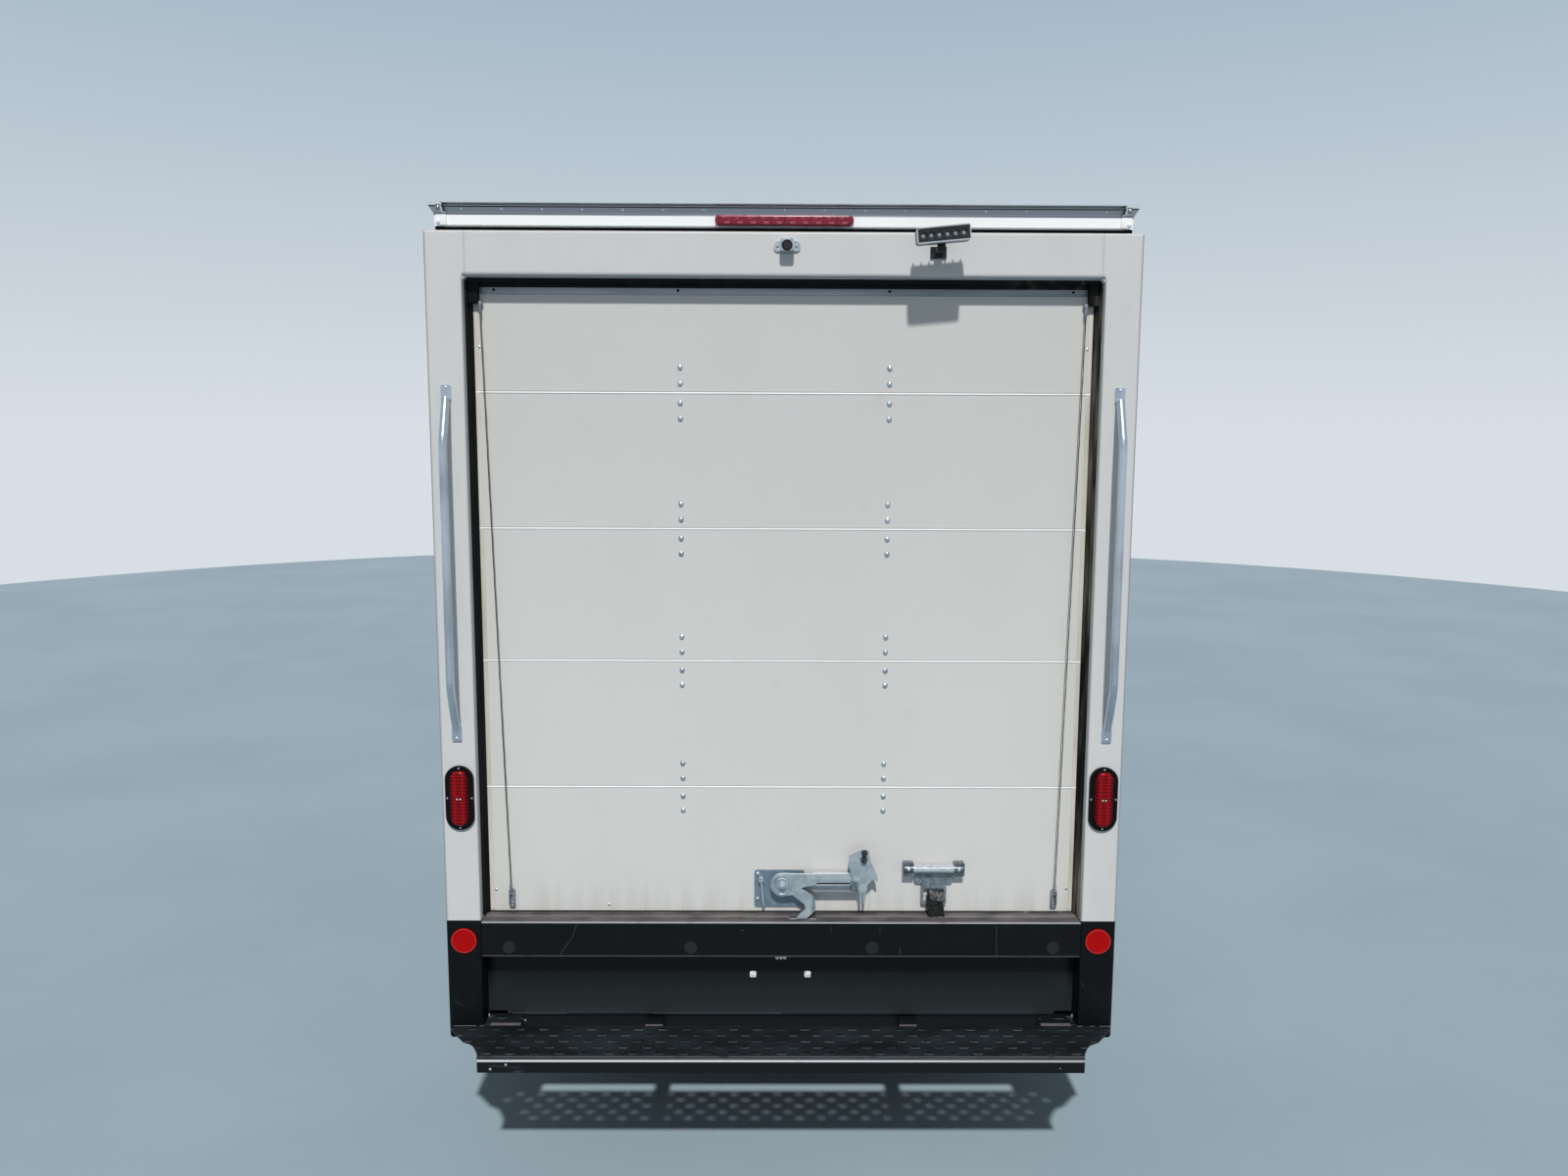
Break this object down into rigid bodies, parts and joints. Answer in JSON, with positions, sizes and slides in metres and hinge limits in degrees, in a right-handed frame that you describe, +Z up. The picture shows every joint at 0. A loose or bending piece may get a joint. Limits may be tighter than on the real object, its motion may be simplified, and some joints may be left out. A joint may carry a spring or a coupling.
{
  "type": "box truck",
  "caption": "Box truck on a cutaway van cab with a dry freight body, a roll-up rear door with latch, a punched step bumper, opening cab doors and bonnet, and steered wheels.",
  "frame": {"origin": "on the ground, at the centre of the vehicle's length and width", "axes": "+X to the vehicle's right, +Y forward, +Z up; the rear door faces -Y"},
  "size_m": [2.55, 6.3095, 3.007],
  "materials": {
    "white_paint": "gloss",
    "black_paint": "satin",
    "door_cream": "satin",
    "chassis_black": "satin",
    "cast_metal": "rough",
    "zinc_steel": "satin",
    "bright_aluminium": "satin",
    "tread_steel": "worn",
    "wheel_steel": "satin",
    "tyre_rubber": "matte",
    "clear_glass": "gloss",
    "lamp_red": "gloss",
    "lamp_clear": "gloss",
    "black_plastic": "satin",
    "grey_plastic": "matte",
    "seat_cloth": "matte",
    "strap_webbing": "matte",
    "flap_rubber": "matte",
    "floor_wood": "matte"
  },
  "bodies": {
    "truck": {"frame_rails": "chassis_black", "crossmembers": "chassis_black", "engine_block": "cast_metal", "front_suspension": "chassis_black", "rear_axle": "chassis_black", "propshaft": "cast_metal", "cab_shell": "white_paint", "front_fenders": "white_paint", "grille": "black_plastic", "headlamps": "lamp_clear", "front_bumper": "black_paint", "windscreen": "clear_glass", "dashboard": "grey_plastic", "seats": "seat_cloth", "box_floor": "floor_wood", "side_walls": "white_paint", "front_wall": "white_paint", "roof_panel": "bright_aluminium", "roof_rails": "bright_aluminium", "rear_frame": "white_paint", "roll_door": "door_cream", "rear_sill": "black_paint", "step_bumper": "tread_steel", "grab_handles": "zinc_steel", "tail_lamps": "lamp_red", "reflectors": "lamp_red", "brake_light_bar": "lamp_red", "backup_camera": "bright_aluminium", "work_light": "lamp_clear", "door_latch": "zinc_steel", "strap_bracket": "zinc_steel", "pull_strap": "strap_webbing", "fuel_tank": "black_plastic", "exhaust": "cast_metal", "mud_flaps": "flap_rubber"},
    "door_left": {"door_left": "white_paint", "door_glass_left": "clear_glass", "mirror_left": "black_plastic"},
    "door_right": {"door_right": "white_paint", "door_glass_right": "clear_glass", "mirror_right": "black_plastic"},
    "bonnet": {"bonnet": "white_paint"},
    "knuckle_left": {"knuckle_left": "cast_metal"},
    "knuckle_right": {"knuckle_right": "cast_metal"},
    "wheel_front_left": {"rim_front_left": "wheel_steel", "tyre_front_left": "tyre_rubber"},
    "wheel_front_right": {"rim_front_right": "wheel_steel", "tyre_front_right": "tyre_rubber"},
    "wheel_rear_left": {"rim_rear_left": "wheel_steel", "tyre_rear_left": "tyre_rubber"},
    "wheel_rear_right": {"rim_rear_right": "wheel_steel", "tyre_rear_right": "tyre_rubber"},
    "steering_wheel": {"steering_wheel": "black_plastic"}
  },
  "joints": [
    {"name": "steer_right", "type": "hinge", "parent": "truck", "child": "knuckle_right", "pos_m": [0.811, 2.2755, 0.3875], "axis": [0, 0, 1], "range_deg": [-32, 32]},
    {"name": "steer_left", "type": "hinge", "parent": "truck", "child": "knuckle_left", "pos_m": [-0.811, 2.2755, 0.3875], "axis": [0, 0, 1], "range_deg": [-32, 32]},
    {"name": "steering_wheel_turn", "type": "hinge", "parent": "truck", "child": "steering_wheel", "pos_m": [-0.4, 1.6855, 1.18], "axis": [0, -0.766, 0.6428], "range_deg": [-485, 485]},
    {"name": "wheel_front_left_spin", "type": "hinge", "parent": "knuckle_left", "child": "wheel_front_left", "pos_m": [-0.871, 2.2755, 0.3875], "axis": [1, 0, 0], "continuous": true},
    {"name": "wheel_front_right_spin", "type": "hinge", "parent": "knuckle_right", "child": "wheel_front_right", "pos_m": [0.871, 2.2755, 0.3875], "axis": [1, 0, 0], "continuous": true},
    {"name": "wheel_rear_left_spin", "type": "hinge", "parent": "truck", "child": "wheel_rear_left", "pos_m": [-0.866, -1.2555, 0.3875], "axis": [1, 0, 0], "continuous": true},
    {"name": "wheel_rear_right_spin", "type": "hinge", "parent": "truck", "child": "wheel_rear_right", "pos_m": [0.866, -1.2555, 0.3875], "axis": [1, 0, 0], "continuous": true},
    {"name": "door_left_swing", "type": "hinge", "parent": "truck", "child": "door_left", "pos_m": [-1.003, 1.7705, 0.91], "axis": [0, 0, -1], "range_deg": [0, 68]},
    {"name": "door_right_swing", "type": "hinge", "parent": "truck", "child": "door_right", "pos_m": [1.003, 1.7705, 0.91], "axis": [0, 0, 1], "range_deg": [0, 68]},
    {"name": "bonnet_lift", "type": "hinge", "parent": "truck", "child": "bonnet", "pos_m": [0, 2.3025, 1.286], "axis": [1, 0, 0], "range_deg": [0, 55]}
  ],
  "couplings": [
    {"joint": "steer_left", "follows": "steer_right", "ratio": 1},
    {"joint": "steering_wheel_turn", "follows": "steer_right", "ratio": 15}
  ]
}
